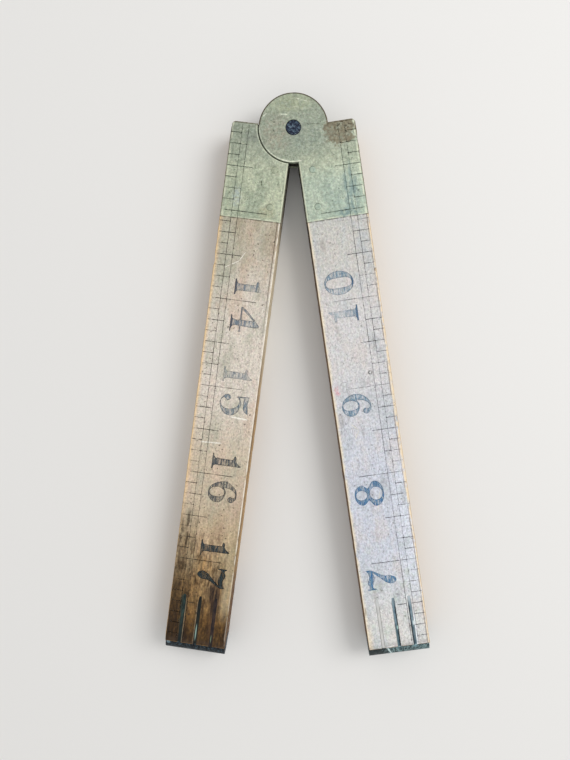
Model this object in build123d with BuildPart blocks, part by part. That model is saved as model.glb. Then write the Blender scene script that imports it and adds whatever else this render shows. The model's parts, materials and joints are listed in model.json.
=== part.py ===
from build123d import *

import os
from math import cos, radians, sin

# Two-foot folding rule of boxwood and brass, in four sections, sizes in millimetres.
# It lies on its back: z rises out of the numbered faces, y runs towards the main joint,
# and the origin is under the middle of the rule, on the surface that it rests on.

# The rule as a whole
section_length = 152.4
leg_width = 17.7
stave_thickness = 4.8
half_opening = 7.95
fold_gap = 0.2
inner_edge_clearance = 0.05
shoulder_clearance = 0.05
edge_wear = 0.15
corner_radius = 1.3

# Main joint: three layers of sheet brass turning on a steel pivot
disc_radius = 9.95
plate_length = 27.3
plate_thickness = 1.2
arc_clearance = 0.25
head_setback = 0.15
pivot_diameter = 4.5
pivot_clearance = 0.04
tang_inset = 2.2
tang_length = 18.0
plate_rivet_diameter = 2.0
plate_rivet_inset = 3.7
rivet_beyond_disc = 2.7
rivet_above_plate_end = 4.0

# Knuckles: thin brass leaves let into saw cuts, each with its roll on the knuckle pin
barrel_radius = 3.1
barrel_clearance = 0.15
knuckle_pin_diameter = 2.0
knuckle_clearance = 0.04
roll_side_clearance = 0.05
wood_end_setback = 0.6
leaf_pitch = 2.3
leaf_thickness = 1.0
leaf_length = 14.3
leaf_length_at_fold = 10.5
leaf_point_length = 1.2
leaf_point_width = 0.6
leaf_rivet_diameter = 1.2
leaf_rivet_above_end = 6.5

# Brass tips folded over the free ends of the rule
tip_length = 6.0
tip_thickness = 0.8
tip_rivet_diameter = 1.5
tip_rivet_above_edge = 2.2

# Places that follow from the sizes
knuckle_height = stave_thickness + fold_gap / 2
back_height = stave_thickness + fold_gap
face_height = back_height + stave_thickness
leg_breadth = leg_width - inner_edge_clearance
leg_middle = (leg_width + inner_edge_clearance) / 2
wood_end = section_length - wood_end_setback
front_plate_height = face_height - plate_thickness
tongue_height = back_height + plate_thickness
tongue_thickness = stave_thickness - 2 * plate_thickness
head_radius = disc_radius - head_setback
pivot_radius = pivot_diameter / 2
lean = radians(half_opening)
foot_drop = (section_length + barrel_radius) * cos(lean) - inner_edge_clearance * sin(lean)
pivot_y = (foot_drop - disc_radius) / 2

# The right leg lies on the +x side; folded, the inner sections lie over the outer ones
hands = {"right": 1, "left": -1}
layers = {"inner": 1, "outer": -1}
leaf_steps = {"inner": (-2, 0, 2), "outer": (-1, 1)}

os.makedirs("parts", exist_ok=True)


def leg_plane(hand):
    """Plane of one leg: x crosses it, y climbs it to the pivot, z leaves the numbered face."""
    x_dir = (cos(lean), hands[hand] * sin(lean), 0)
    return Plane((0, pivot_y, 0), x_dir=x_dir, z_dir=(0, 0, 1))


def cross_plane(hand, across):
    """Plane square to a leg's width, at a distance from its inner edge: y is the height."""
    leg = leg_plane(hand)
    origin = leg.from_local_coords((hands[hand] * across, 0, 0))
    return Plane(origin, x_dir=leg.y_dir, z_dir=leg.x_dir)


def height_in(section, depth):
    """Height of a point in a section, by its depth into the wood from the fold."""
    return knuckle_height + layers[section] * (fold_gap / 2 + depth)


def leaf_place(step):
    """Distance of a leaf from the inner edge, in steps of one pitch from the leg's middle."""
    return leg_middle + step * leaf_pitch


def roll_ends(step):
    """Where a leaf's roll starts and ends across the leg; the outermost run to its edges."""
    half_roll = leaf_pitch / 2 - roll_side_clearance
    start = leaf_place(step) - half_roll
    end = leaf_place(step) + half_roll
    if step == min(leaf_steps["inner"]):
        start = inner_edge_clearance
    if step == max(leaf_steps["inner"]):
        end = leg_width
    return start, end


def draw_leg(hand, top, bottom):
    """Draw the full width of a leg between two distances below the pivot."""
    with Locations((hands[hand] * leg_middle, -(top + bottom) / 2)):
        Rectangle(leg_breadth, bottom - top)


def draw_leg_end(outline, hand, bottom):
    """Draw a leg from its shoulder down, with the outer corner of the shoulder rounded."""
    draw_leg(hand, shoulder_clearance, bottom)
    corner = (hands[hand] * leg_width, -shoulder_clearance, 0)
    fillet(outline.vertices().sort_by_distance(corner)[0], radius=corner_radius)


def draw_tongue(hand):
    """Draw the round head and the tang of the tongue, without its bore."""
    Circle(head_radius)
    with Locations((hands[hand] * leg_middle, -(shoulder_clearance + tang_length) / 2)):
        Rectangle(leg_breadth - 2 * tang_inset, tang_length - shoulder_clearance)


def draw_plate_rivets(hand, mode=Mode.ADD):
    """Draw the two rivets that clamp the plates of one leg, near its inner edge."""
    inset = hands[hand] * plate_rivet_inset
    upper = (inset, -disc_radius - rivet_beyond_disc)
    lower = (inset, rivet_above_plate_end - plate_length)
    with Locations(upper, lower):
        Circle(plate_rivet_diameter / 2, mode=mode)


def draw_tip_rivet(hand):
    """Draw the rivet of a brass tip."""
    with Locations((hands[hand] * leg_middle, tip_rivet_above_edge - tip_length)):
        Circle(tip_rivet_diameter / 2)


def draw_leaf_rivet(section):
    """Draw the cross rivet of a wood end, seen along the knuckle pin: wire of eight flats."""
    with Locations((leaf_rivet_above_end - wood_end, height_in(section, stave_thickness / 2))):
        RegularPolygon(leaf_rivet_diameter / 2, side_count=8)


def wear_edges(face, square_end):
    """Bevel the edges of a brass face, except its square end against the wood."""
    exposed = face.outer_wire().edges().sort_by_distance(square_end)[1:]
    chamfer(exposed, length=edge_wear)


def finish(piece, label):
    """Label a finished piece and write it."""
    piece.part.label = label
    export_step(piece.part, f"parts/{label}.step")


# Leaves of the knuckles


def leaf_fin(hand, section, step):
    """Flat fin of one leaf, which is also the shape of the saw cut that holds it."""
    across = leaf_place(step)
    face = height_in(section, stave_thickness)
    fold = height_in(section, 0)
    with BuildPart() as fin:
        with BuildSketch(cross_plane(hand, across)):
            Polygon(
                (-wood_end, face),
                (-wood_end, fold),
                (leaf_length_at_fold - wood_end, fold),
                (leaf_length - wood_end, face),
            )
        extrude(amount=leaf_thickness, both=True)
        half_strip = leaf_thickness / 2
        half_point = leaf_point_width / 2
        shoulder = leaf_length - leaf_point_length
        with BuildSketch(leg_plane(hand)):
            with Locations((hands[hand] * across, -wood_end)):
                Polygon(
                    (-half_strip, 0),
                    (half_strip, 0),
                    (half_strip, shoulder),
                    (half_point, leaf_length),
                    (-half_point, leaf_length),
                    (-half_strip, shoulder),
                )
        extrude(amount=face_height, mode=Mode.INTERSECT)
    return fin.part


def make_leaf(hand, section, step, label):
    """Leaf with its roll; it is driven on the knuckle pin if inner, and runs on it if outer."""
    fin = leaf_fin(hand, section, step)
    start, end = roll_ends(step)
    running = 0 if section == "inner" else knuckle_clearance
    with BuildPart() as leaf:
        add(fin)
        with BuildSketch(cross_plane(hand, (start + end) / 2)):
            with Locations((-section_length, knuckle_height)):
                Circle(barrel_radius)
        extrude(amount=(end - start) / 2, both=True)
        with BuildSketch(cross_plane(hand, leg_middle)):
            with Locations((-section_length, knuckle_height)):
                Circle(knuckle_pin_diameter / 2 + running)
            draw_leaf_rivet(section)
        extrude(amount=leg_width, both=True, mode=Mode.SUBTRACT)
    finish(leaf, label)


def make_knuckle_pin(hand):
    """Pin of a knuckle, the full width of the leg."""
    with BuildPart() as pin:
        with BuildSketch(cross_plane(hand, leg_middle)):
            with Locations((-section_length, knuckle_height)):
                Circle(knuckle_pin_diameter / 2)
        extrude(amount=leg_breadth / 2, both=True)
    finish(pin, f"{hand}_knuckle_pin")


def make_leaf_rivet(hand, section):
    """Wire rivet from edge to edge, through the wood and the fins."""
    with BuildPart() as rivet:
        with BuildSketch(cross_plane(hand, leg_middle)):
            draw_leaf_rivet(section)
        extrude(amount=leg_breadth / 2, both=True)
    finish(rivet, f"{hand}_{section}_leaf_rivet")


# Boxwood staves


def cut_wood_end(hand, section):
    """Hollow a stave's end round the barrel, and drill it for the cross rivet."""
    with BuildSketch(cross_plane(hand, leg_middle)) as end:
        with Locations((-section_length, knuckle_height)):
            Circle(barrel_radius + barrel_clearance)
        draw_leaf_rivet(section)
    extrude(end.sketch, amount=leg_width, both=True, mode=Mode.SUBTRACT)


def make_inner_stave(hand):
    """Section that carries the main joint: let in for the plates and hollowed for the tongue."""
    leg = leg_plane(hand)
    fins = [leaf_fin(hand, "inner", step) for step in leaf_steps["inner"]]
    with BuildPart() as stave:
        with BuildSketch(leg.offset(back_height)) as outline:
            draw_leg_end(outline, hand, wood_end)
        extrude(amount=stave_thickness)
        chamfer(stave.edges().filter_by(Axis((0, 0, 0), leg.y_dir)), length=edge_wear)
        for floor in (back_height, front_plate_height):
            with BuildSketch(leg.offset(floor)):
                draw_leg(hand, 0, plate_length)
            extrude(amount=plate_thickness, mode=Mode.SUBTRACT)
        with BuildSketch(leg.offset(back_height)):
            if hand == "right":
                Circle(head_radius + arc_clearance)
            else:
                draw_tongue(hand)
            draw_plate_rivets(hand)
        extrude(amount=stave_thickness, mode=Mode.SUBTRACT)
        cut_wood_end(hand, "inner")
        add(fins, mode=Mode.SUBTRACT)
    finish(stave, f"{hand}_inner_stave")


def make_outer_stave(hand):
    """Section with a free end: let in there for the brass tip."""
    leg = leg_plane(hand)
    fins = [leaf_fin(hand, "outer", step) for step in leaf_steps["outer"]]
    with BuildPart() as stave:
        with BuildSketch(leg) as outline:
            draw_leg_end(outline, hand, wood_end)
        extrude(amount=stave_thickness)
        chamfer(stave.edges().filter_by(Axis((0, 0, 0), leg.y_dir)), length=edge_wear)
        for floor in (0, stave_thickness - tip_thickness):
            with BuildSketch(leg.offset(floor)):
                draw_leg(hand, 0, tip_length)
            extrude(amount=tip_thickness, mode=Mode.SUBTRACT)
        with BuildSketch(leg):
            draw_leg(hand, 0, shoulder_clearance + tip_thickness)
            draw_tip_rivet(hand)
        extrude(amount=stave_thickness, mode=Mode.SUBTRACT)
        cut_wood_end(hand, "outer")
        add(fins, mode=Mode.SUBTRACT)
    finish(stave, f"{hand}_outer_stave")


# Square joint of the two legs


def make_plate(hand, face):
    """Sheet let into the front or the back of a leg: disc on the right, hollow on the left."""
    leg = leg_plane(hand)
    floor = front_plate_height if face == "front" else back_height
    square_end = leg.from_local_coords((hands[hand] * leg_middle, -plate_length, floor))
    with BuildPart() as plate:
        with BuildSketch(leg.offset(floor)) as outline:
            draw_leg_end(outline, hand, plate_length)
            if hand == "right":
                Circle(disc_radius)
                Circle(pivot_radius, mode=Mode.SUBTRACT)
            else:
                Circle(disc_radius + arc_clearance, mode=Mode.SUBTRACT)
            draw_plate_rivets(hand, mode=Mode.SUBTRACT)
        extrude(amount=plate_thickness)
        faces = plate.faces().sort_by(Axis.Z)
        wear_edges(faces[-1] if face == "front" else faces[0], square_end)
    finish(plate, f"{hand}_{face}_plate")


def make_tongue():
    """Middle layer of the left leg: its head turns between the discs of the right leg."""
    with BuildPart() as tongue:
        with BuildSketch(leg_plane("left").offset(tongue_height)):
            draw_tongue("left")
            Circle(pivot_radius + pivot_clearance, mode=Mode.SUBTRACT)
            draw_plate_rivets("left", mode=Mode.SUBTRACT)
        extrude(amount=tongue_thickness)
    finish(tongue, "left_joint_tongue")


def make_pivot_pin():
    """Steel pin riveted flush in both discs; the tongue turns on it."""
    with BuildPart() as pin:
        with BuildSketch(leg_plane("right").offset(back_height)):
            Circle(pivot_radius)
        extrude(amount=stave_thickness)
    finish(pin, "pivot_pin")


def make_plate_rivets(hand):
    """Two flush rivets through both plates of a leg and what lies between them."""
    with BuildPart() as rivets:
        with BuildSketch(leg_plane(hand).offset(back_height)):
            draw_plate_rivets(hand)
        extrude(amount=stave_thickness)
    finish(rivets, f"{hand}_plate_rivets")


# Free ends


def make_tip(hand):
    """Strip of sheet brass folded over the free end and let in flush on both faces."""
    leg = leg_plane(hand)
    with BuildPart() as tip:
        with BuildSketch(leg) as outline:
            draw_leg_end(outline, hand, tip_length)
        extrude(amount=stave_thickness)
        for end_face, floor in ((0, 0), (-1, stave_thickness)):
            square_end = leg.from_local_coords((hands[hand] * leg_middle, -tip_length, floor))
            wear_edges(tip.faces().sort_by(Axis.Z)[end_face], square_end)
        with BuildSketch(leg.offset(tip_thickness)):
            draw_leg(hand, shoulder_clearance + tip_thickness, tip_length)
        extrude(amount=stave_thickness - 2 * tip_thickness, mode=Mode.SUBTRACT)
        with BuildSketch(leg):
            draw_tip_rivet(hand)
        extrude(amount=stave_thickness, mode=Mode.SUBTRACT)
    finish(tip, f"{hand}_tip")


def make_tip_rivet(hand):
    """Flush rivet through a tip and the wood in it."""
    with BuildPart() as rivet:
        with BuildSketch(leg_plane(hand)):
            draw_tip_rivet(hand)
        extrude(amount=stave_thickness)
    finish(rivet, f"{hand}_tip_rivet")


make_pivot_pin()
make_tongue()
for hand in hands:
    make_inner_stave(hand)
    make_outer_stave(hand)
    make_plate(hand, "front")
    make_plate(hand, "back")
    make_plate_rivets(hand)
    make_knuckle_pin(hand)
    make_tip(hand)
    make_tip_rivet(hand)
    for section, steps in leaf_steps.items():
        make_leaf_rivet(hand, section)
        for number, step in enumerate(steps, 1):
            make_leaf(hand, section, step, f"{hand}_{section}_leaf_{number}")
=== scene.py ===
import json
from functools import reduce
from math import atan2, cos, pi, radians, sin

import bmesh
import bpy
from mathutils import Matrix, Vector, kdtree, noise


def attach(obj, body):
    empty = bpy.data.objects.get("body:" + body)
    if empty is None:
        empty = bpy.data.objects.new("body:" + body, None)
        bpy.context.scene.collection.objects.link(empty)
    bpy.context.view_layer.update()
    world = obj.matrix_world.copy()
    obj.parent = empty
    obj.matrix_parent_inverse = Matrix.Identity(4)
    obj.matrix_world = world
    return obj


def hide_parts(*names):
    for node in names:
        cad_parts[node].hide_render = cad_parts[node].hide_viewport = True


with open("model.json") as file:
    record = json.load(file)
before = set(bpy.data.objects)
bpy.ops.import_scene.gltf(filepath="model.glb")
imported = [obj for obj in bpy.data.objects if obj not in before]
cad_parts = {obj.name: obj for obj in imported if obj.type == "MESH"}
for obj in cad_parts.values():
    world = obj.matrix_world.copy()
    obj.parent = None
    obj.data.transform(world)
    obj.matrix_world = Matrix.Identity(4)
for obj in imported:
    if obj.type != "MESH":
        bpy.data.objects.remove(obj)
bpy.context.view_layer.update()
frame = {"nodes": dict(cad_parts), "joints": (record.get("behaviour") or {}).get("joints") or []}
mm = 0.001


# Boxwood staves
# Four staves of boxwood, sawn from the plank with the grain along them and planed to one
# thickness. A century or more in pockets has rounded their edges and greyed their faces.

leg_width = 17.7 * mm
stave_thickness = 4.8 * mm
face_height = 9.8 * mm
plate_length = 27.3 * mm
joint_reach = 10.4 * mm
section_faces = {"inner": (face_height - stave_thickness, face_height), "outer": (0.0, stave_thickness)}
hands = {"right": 1, "left": -1}
joints = {joint["name"]: joint for joint in frame["joints"]}
pivot = Vector(joints["main_joint"]["pos_m"])
across_right = -Vector(joints["right_knuckle"]["axis"])
lean = atan2(across_right.y, across_right.x)


def leg_matrix(hand):
    """Place of a leg: its x crosses the rule and its y climbs to the pivot."""
    return Matrix.Translation((0, pivot.y, 0)) @ Matrix.Rotation(hands[hand] * lean, 4, "Z")


def leg_point(hand, across, along, height):
    """Point of a leg, by its distance from the inner edge, from the pivot and from the bench."""
    return leg_matrix(hand) @ Vector((hands[hand] * across, -along, height))


def maths(operation, reflected=False):
    """Method of a signal that adds one Math node, with the signal as its first or last value."""
    def work(signal, *others):
        values = (*others, signal) if reflected else (signal, *others)
        return signal.tree.node("ShaderNodeMath", {"operation": operation}, dict(enumerate(values)))
    return work


class Signal:
    """One socket of a node tree. Arithmetic on it adds the Math nodes that it needs."""

    def __init__(self, tree, socket):
        self.tree = tree
        self.socket = socket

    __add__ = __radd__ = maths("ADD")
    __sub__ = maths("SUBTRACT")
    __rsub__ = maths("SUBTRACT", reflected=True)
    __mul__ = __rmul__ = maths("MULTIPLY")
    __truediv__ = maths("DIVIDE")
    __mod__ = maths("FLOORED_MODULO")
    __pow__ = maths("POWER")
    __abs__ = maths("ABSOLUTE")
    above = maths("GREATER_THAN")
    equals = maths("COMPARE")
    sign = maths("SIGN")

    def __neg__(self):
        return self * -1.0

    def larger(self, *others):
        return reduce(maths("MAXIMUM"), others, self)

    def smaller(self, *others):
        return reduce(maths("MINIMUM"), others, self)

    def step(self, low, high, start=0.0, end=1.0):
        """Soft step from start to end while the signal goes from low to high."""
        if low > high:
            low, high, start, end = high, low, end, start
        sockets = {0: self, 1: low, 2: high, 3: start, 4: end}
        return self.tree.node("ShaderNodeMapRange", {"interpolation_type": "SMOOTHSTEP"}, sockets)

    def near(self, middle, reach):
        """One at the middle, falling softly to nothing at the reach."""
        return abs(self - middle).step(reach, 0.0)


class NodeTree:
    """A node tree that is filled from expressions."""

    def __init__(self, tree):
        self.tree = tree

    def node(self, kind, settings=None, sockets=None, output=0):
        """Add a node: its settings first, then the values and links of its sockets."""
        made = self.tree.nodes.new(kind)
        for name, value in (settings or {}).items():
            setattr(made, name, value)
        for key, value in (sockets or {}).items():
            if isinstance(value, Signal):
                self.tree.links.new(value.socket, made.inputs[key])
            else:
                made.inputs[key].default_value = value
        return Signal(self, made.outputs[output]) if made.outputs else None

    def part(self, vector, axis):
        """One of the three numbers of a vector."""
        return self.node("ShaderNodeSeparateXYZ", None, {0: vector}, axis)


def linear(tone):
    """Linear colour of the three eight-bit values of a colour chart; any other tone stays as it is."""
    if isinstance(tone, tuple) and len(tone) == 3:
        return tuple((value / 255) ** 2.2 for value in tone) + (1.0,)
    return tone


class Finish(NodeTree):
    """The material of one piece, on leg coordinates in millimetres. Its colour is laid on in coats."""

    def __init__(self, name, hand, plank=(0, 0, 0)):
        self.material = bpy.data.materials.new(name)
        self.material.use_nodes = True
        super().__init__(self.material.node_tree)
        self.tree.nodes.clear()
        self.hand = hand
        self.plank = plank
        self.colour = None
        shift = Matrix.Rotation(-lean, 3, "Z") @ Vector((0, -pivot.y / mm, 0))
        sockets = {0: self.node("ShaderNodeTexCoord", output="Object"), "Location": shift}
        sockets.update({"Rotation": (0, 0, -lean), "Scale": (hands[hand] / mm, 1 / mm, 1 / mm)})
        self.leg = self.node("ShaderNodeMapping", {"vector_type": "POINT"}, sockets)
        self.across, self.along, self.height = (self.part(self.leg, axis) for axis in range(3))
        self.along = -self.along

    def grain(self, factors, detail=3.0, offset=(0, 0, 0), roughness=0.5, distortion=0.0, output=0):
        """Noise with so many features a millimetre, by axis or alike; the offset moves to another part."""
        factors = factors if isinstance(factors, tuple) else (factors,) * 3
        offset = tuple(a + b for a, b in zip(offset, self.plank))
        settings = {"operation": "MULTIPLY_ADD"}
        place = self.node("ShaderNodeVectorMath", settings, {0: self.leg, 1: factors, 2: offset})
        sockets = {"Vector": place, "Scale": 1.0, "Detail": detail}
        sockets.update({"Roughness": roughness, "Distortion": distortion})
        return self.node("ShaderNodeTexNoise", {"noise_dimensions": "3D"}, sockets, output)

    def curls(self, factors, width, offset=(0, 0, 0)):
        """Mask of the thin curled lines that old polish and tarnish break into."""
        return abs(self.grain(factors, 1.5, offset, distortion=1.3) - 0.5).step(width, 0.0)

    def mix(self, factor, first, second, blend="MIX"):
        """Mix of two colours."""
        settings = {"data_type": "RGBA", "blend_type": blend, "clamp_factor": True}
        return self.node("ShaderNodeMix", settings, {0: factor, 6: linear(first), 7: linear(second)}, 2)

    def lay(self, mask, tone, blend="MIX"):
        """Lay a tone over the colour so far, where the mask is one."""
        self.colour = self.mix(mask, self.colour, tone, blend)

    def tint(self, amount, factors, offset):
        """Let the colour stray from fleck to fleck, in each of its channels by itself."""
        flecks = self.grain(factors, 3.0, offset, 0.6, output=1)
        sockets = {0: flecks, 1: (amount,) * 3, 2: (1 - amount / 2,) * 3}
        self.lay(1.0, self.node("ShaderNodeVectorMath", {"operation": "MULTIPLY_ADD"}, sockets), "MULTIPLY")

    def shade(self, colour, level):
        """Colour made darker or paler by a level that is one where it stays."""
        grey = self.node("ShaderNodeCombineColor", None, {0: level, 1: level, 2: level})
        return self.mix(1.0, colour, grey, "MULTIPLY")

    def scratches(self, *strokes):
        """Mask of scratches, each with its two ends, as (across, along), and its width."""
        masks = []
        for (across, along), (end_across, end_along), width in strokes:
            dx, dy = end_across - across, end_along - along
            length = (dx * dx + dy * dy) ** 0.5
            dx, dy = dx / length, dy / length
            x, y = self.across - across, self.along - along
            ragged = self.grain(3, 2).step(0.3, 0.7, 0.5, 1.3)
            ends = (x * dx + y * dy - length / 2).near(0, length / 2).step(0.0, 0.25)
            masks.append((abs(y * dx - x * dy) / (ragged * width)).step(1.0, 0.5) * ends)
        return masks[0].larger(*masks[1:])

    def away(self, across, along):
        """Distance to a point of the face."""
        x, y = self.across - across, self.along - along
        return (x * x + y * y) ** 0.5

    def spot(self, across, along, wide, tall, over=None, fall=(1.0, 0.1)):
        """Mask of a soft oval patch of the face, or of the ragged coordinates that it spreads over."""
        x, y = over or (self.across, self.along)
        x, y = (x - across) / wide, (y - along) / tall
        return (x * x + y * y).step(*fall)

    def surface(self, roughness, bump=None, depth=0.02, metallic=0.0, alpha=1.0, gleam=0.5):
        """Principled surface of the colour; the bump signal is so many millimetres deep."""
        sockets = {"Base Color": linear(self.colour), "Roughness": roughness, "Metallic": metallic}
        sockets.update({"Alpha": alpha, "Specular IOR Level": gleam})
        if bump is not None:
            relief = {"Strength": 1.0, "Distance": depth * mm, "Height": bump}
            sockets["Normal"] = self.node("ShaderNodeBump", None, relief)
        shader = self.node("ShaderNodeBsdfPrincipled", None, sockets)
        self.node("ShaderNodeOutputMaterial", None, {"Surface": shader})
        return self.material


def pale_faces(wood):
    """Right inner stave: faded and scrubbed, grey by the brass, cream at its foot; the cool blue-white down
    the leg and by its outer edge is a painted sheen.
    """
    across, along = wood.across, wood.along
    lay, grain, spot = wood.lay, wood.grain, wood.spot
    wood.colour = wood.mix(along.step(30, 60), (198, 196, 189), (210, 208, 207))
    # Painted cool sheen: the lower leg is tinted blue-white, and more so by its outer edge just below.
    lay(along.step(64, 106), (204, 208, 219))
    lay(along.step(122, 146), (214, 214, 211))
    painted_cool_sheen = across.step(12, 15.5) * along.step(84, 112) * along.step(146, 128)
    lay(painted_cool_sheen * 0.7, (223, 228, 237))
    cloud = grain((0.17, 0.08, 0.12), 4, (5, 2, 3), 0.6)
    lay(cloud.step(0.5, 0.66) * 0.4, (214, 203, 196))
    lay(cloud.step(0.5, 0.36) * 0.55, (184, 190, 194))
    damp = grain((0.4, 0.25, 0.4), 3, (1, 6, 2)).step(0.54, 0.7) * along.step(116, 130)
    lay(damp * 0.4, (188, 202, 184))
    lay(across.step(2.2, 0.6) * along.step(141, 149) * 0.5, (236, 212, 176))
    lay(wood.curls((0.7, 0.55, 0.7), 0.04) * 0.3, (142, 146, 152))
    # Painted highlight: a cream line along the inner edge, where light catches it.
    inner = across.step(1.3, 0.25) * grain((0.7, 0.3, 0.7), 3, (9, 4, 4)).step(0.3, 0.6)
    lay(inner * 0.75, (238, 224, 198))
    pink = spot(1.8, 76.3, 1.5, 1.7) * grain((2.2, 0.7, 2.0), 2).step(0.4, 0.62)
    lay(pink * 0.5, (226, 140, 148))
    ring = grain(1.6, 2, (3, 1, 1)).step(0.38, 0.52, 0.45, 1.0)
    lay(wood.away(11.7, 72.3).near(0.45, 0.34) * ring * 0.95, (78, 80, 74))
    dirt = grain((0.35, 0.1, 0.3), 5, (7, 3, 1)).step(0.56, 0.75)
    lay(dirt * 0.45, (128, 118, 110))
    bruise = (spot(0.4, 140.5, 0.6, 1.7) * 0.6).larger(spot(17.4, 43.4, 0.5, 0.7))
    lay(bruise * 0.85, (92, 70, 54))
    grime = (across + along.near(90, 45) * 0.35 - 17.05).near(0, 0.22)
    grime = grime * grain((0.3, 0.07, 0.3), 3, (4, 5, 5)).step(0.38, 0.52)
    lay(grime * 0.75, (118, 90, 62))
    # Painted highlight: a thin white-blue line beside the outer leaf, toward the foot.
    lay(across.near(14.25, 0.34) * along.step(141.0, 144.5) * 0.95, (238, 244, 250))
    return wood.scratches(
        ((4.1, 86.3), (6.2, 88.2), 0.13), ((6.2, 88.2), (4.6, 91.0), 0.12),
        ((9.6, 106.0), (8.3, 112.5), 0.1))


def brown_faces(wood):
    """Left inner stave: handled brown, almost black at the foot, with stains round its leaves."""
    across, along = wood.across, wood.along
    lay, grain, spot = wood.lay, wood.grain, wood.spot
    wood.colour = wood.mix(along.step(28, 56), (189, 179, 160), (217, 207, 194))
    lay(along.step(76, 102), (200, 184, 160))
    cloud = grain((0.17, 0.07, 0.12), 4, (2, 5, 3), 0.6)
    lay(cloud.step(0.5, 0.66) * 0.6, (206, 182, 162))
    lay(cloud.step(0.5, 0.36) * 0.55, (172, 172, 154))
    lay(across.step(7, 15) * along.step(72, 34) * 0.5, (168, 172, 152))
    lay(wood.curls((0.7, 0.5, 0.7), 0.04) * 0.28, (120, 112, 102))
    foot = along + grain((0.12, 0.06, 0.1), 4) * 34 - 17
    lay(foot.step(102, 144), (122, 98, 66))
    streaks = grain((1.1, 0.09, 1), 4, (4, 1, 6), 0.66)
    low = foot.step(112, 136)
    lay(streaks.step(0.53, 0.62) * low * 0.55, (164, 132, 92))
    lay(streaks.step(0.47, 0.37) * low * 0.75, (78, 60, 44))
    patches = grain((0.6, 0.26, 0.6), 5, (3, 9, 4), 0.66)
    lay(patches.step(0.52, 0.64) * foot.step(104, 136) * 0.8, (74, 56, 34))
    lay(patches.step(0.46, 0.36) * foot.step(116, 140) * 0.4, (166, 138, 98))
    handled = patches.step(0.35, 0.55) * streaks.step(0.62, 0.42, 0.3, 1.0)
    corner = (across.step(9.5, 16.5) * along.step(108, 144)).larger(along.step(139, 151) * 0.85)
    corner = corner.larger(spot(15.2, 119.5, 3.6, 8.5) * handled)
    lay(corner * (0.6 + patches * 0.35), (50, 38, 22))
    grit = grain((1.5, 0.7, 1.5), 4, (6, 9, 2), 0.7).step(0.32, 0.68, -0.42, 0.34)
    wood.colour = wood.shade(wood.colour, 1 + grit * along.step(112, 132))
    fibres = grain((2.8, 0.3, 2.8), 4, (8, 3, 5), 0.7)
    wood.colour = wood.shade(wood.colour, 1 + fibres.step(0.34, 0.66, -0.24, 0.24) * along.step(108, 130))
    lay(spot(16.5, 152.0, 9.0, 8.0) * 0.5, (40, 30, 18))
    lay(along.step(108, 124), (1.08, 1.02, 0.88, 1.0), "MULTIPLY")
    lay(along.step(134, 147), (0.72, 0.63, 0.45, 1.0), "MULTIPLY")
    upper = along.step(60, 27) * grain((0.3, 0.1, 0.3), 4).step(0.35, 0.7)
    lay(upper * 0.5, (150, 138, 114))
    lines = grain((2.2, 0.12, 1), 3, (1, 2, 8), 0.6).step(0.36, 0.6)
    drift = across - grain((0.5, 0.22, 0.5), 3, (1, 2, 8)) * 2.6 + 1.3
    fall = along + grain((1.2, 0.3, 1.2), 3, (5, 2, 3)) * 5 - 2.5

    def blot(*place):
        return spot(*place, over=(drift, fall), fall=(1.2, 0.15))

    soak = blot(5.0, 136.4, 2.9, 6.5).larger(blot(4.8, 143.5, 1.6, 6.5)) * (0.2 + lines * 0.65)
    lay(soak.smaller(0.8), (80, 58, 42))
    rims = (blot(4.9, 132.6, 0.7, 2.6), blot(4.8, 140.4, 0.95, 3.6), blot(6.3, 134.6, 1.0, 1.2) * 0.7)
    core = blot(5.0, 136.8, 1.7, 3.0).larger(*rims) * (0.12 + lines * 0.95)
    lay(core.smaller(0.93) * fibres.step(0.62, 0.4, 0.55, 1.0), (34, 27, 26))
    clean = across.step(3.6, 1.9) * along.step(114, 128) * along.step(146, 138)
    lay(clean * 0.6, (184, 168, 136))
    verdigris = across.near(14.0, 0.85) * along.step(136.7, 138.4) * along.step(150, 143)
    verdigris = verdigris * grain((1.5, 0.5, 1.5), 3, (6, 2, 1)).step(0.25, 0.5)
    lay(verdigris * 0.85, (38, 54, 49))
    lay(across.near(12.5, 0.2) * along.step(141, 144) * 0.8, (40, 32, 26))
    hair = across.near(12.85, 0.18).larger(across.near(9.5, 0.18)) * along.step(138, 141)
    lay(hair * 0.35, (176, 164, 140))
    lay(across.near(0.95, 0.28) * along.step(74, 40) * 0.75, (84, 72, 58))
    glow = across.step(16.3, 17.3) * along.step(120, 104) * streaks.step(0.35, 0.6, 0.5, 1.0)
    lay(glow * 0.6, (232, 198, 154))
    return wood.scratches(
        ((8.7, 36.6), (10.5, 39.6), 0.14), ((10.2, 39.4), (12.7, 40.9), 0.16),
        ((12.4, 40.7), (14.9, 42.2), 0.12), ((7.4, 84.4), (1.6, 84.6), 0.4),
        ((15.4, 92.7), (8.0, 92.3), 0.25))


plain_scratches = {"right": ((5, 60), (9, 75), 0.2), "left": ((12.4, 97), (8.1, 103), 0.2)}


def plain_faces(wood):
    """Faces that lay folded inside: less light and handling, so nearer the honey of new boxwood."""
    cloud = wood.grain((0.12, 0.03, 0.1), 4, (8, 3, 3), 0.6)
    wood.colour = wood.mix(cloud.step(0.36, 0.64), (208, 192, 162), (190, 168, 132))
    wood.lay(wood.curls((0.7, 0.5, 0.7), 0.04) * 0.25, (132, 112, 84))
    wood.lay(wood.grain((0.4, 0.08, 0.4), 5, (5, 1, 2), 0.62).step(0.5, 0.72) * 0.45, (128, 100, 70))
    return wood.scratches(plain_scratches[wood.hand])


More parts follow.
